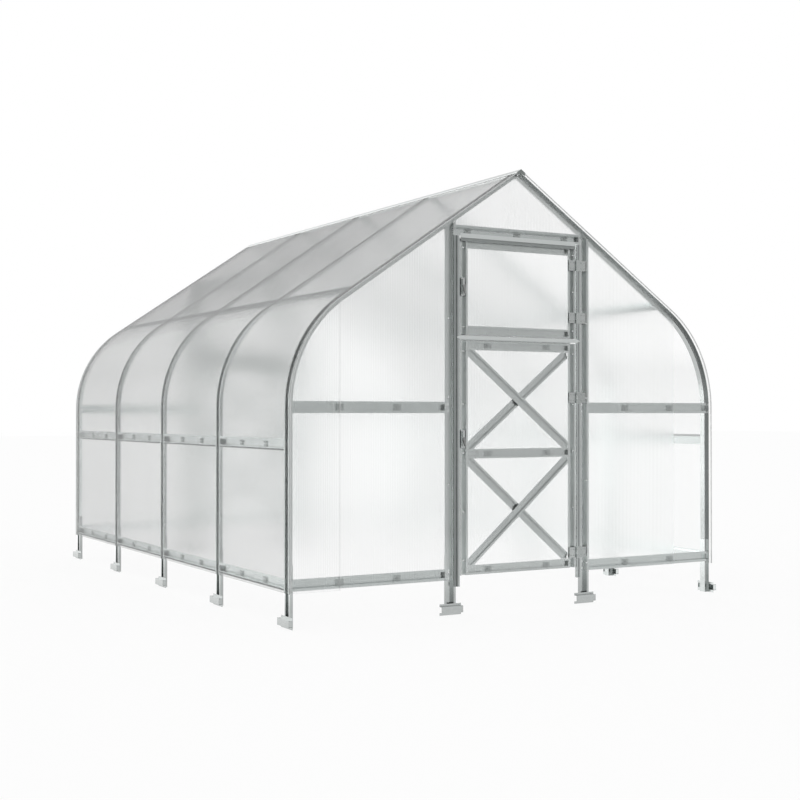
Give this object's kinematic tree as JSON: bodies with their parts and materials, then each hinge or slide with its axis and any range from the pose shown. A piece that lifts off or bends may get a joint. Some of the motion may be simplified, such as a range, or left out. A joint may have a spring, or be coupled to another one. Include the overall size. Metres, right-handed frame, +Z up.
{
  "type": "greenhouse",
  "caption": "Walk-in greenhouse with a pointed roof and curved eaves: folded steel arches under clear twin-wall sheets, a braced gable door with a window above it, and staked feet.",
  "frame": {"origin": "middle of the floor area, at the level of the feet's undersides", "axes": "+X across the house to the right seen from the front door, +Y from the front gable to the rear one, +Z up"},
  "size_m": [3.046, 4.08, 2.608],
  "materials": {
    "arch_steel": "galvanised, dull",
    "rail_steel": "galvanised, dull",
    "foot_steel": "galvanised, dull",
    "jamb_steel": "galvanised, dull",
    "light_strip": "bright strip",
    "ridge_steel": "galvanised, dark with weather",
    "fitting_steel": "galvanised, dull",
    "roof_sheet": "clear twin-wall, ribbed inside",
    "gable_pane": "clear twin-wall, ribbed inside"
  },
  "bodies": {
    "house": {"arch_1": "arch_steel", "arch_2": "arch_steel", "arch_3": "arch_steel", "arch_4": "arch_steel", "arch_5": "arch_steel", "front_left_post": "arch_steel", "front_right_post": "arch_steel", "rear_posts": "arch_steel", "window_frame": "arch_steel", "rear_leaf_frames": "arch_steel", "ridge_rails": "rail_steel", "left_wall_rails": "rail_steel", "right_wall_rails": "rail_steel", "left_eave_rails": "rail_steel", "right_eave_rails": "rail_steel", "gable_mid_rails": "rail_steel", "gable_base_rails": "rail_steel", "head_rails": "rail_steel", "rear_braces": "rail_steel", "side_stakes": "foot_steel", "side_feet": "foot_steel", "post_stakes": "foot_steel", "post_feet": "foot_steel", "left_front_sheet": "roof_sheet", "left_rear_sheet": "roof_sheet", "right_front_sheet": "roof_sheet", "right_rear_sheet": "roof_sheet", "front_left_pane": "gable_pane", "front_right_pane": "gable_pane", "front_top_pane": "gable_pane", "rear_panes": "gable_pane", "window_pane": "gable_pane", "rear_leaf_panes": "gable_pane", "jamb_strips": "jamb_steel", "transom_strips": "light_strip", "drip_strips": "light_strip", "ridge_cap": "ridge_steel", "window_fittings": "fitting_steel", "rear_fittings": "fitting_steel", "door_hinge_brackets": "fitting_steel"},
    "door": {"door_stiles": "arch_steel", "door_rails": "rail_steel", "door_braces": "rail_steel", "door_pane": "gable_pane", "door_latch": "fitting_steel", "door_hinge_leaves": "fitting_steel"}
  },
  "joints": [
    {"name": "door_hinge", "type": "hinge", "parent": "house", "child": "door", "pos_m": [0.4195, -2.0135, 0.9], "axis": [0, 0, 1], "range_deg": [0, 110]}
  ]
}
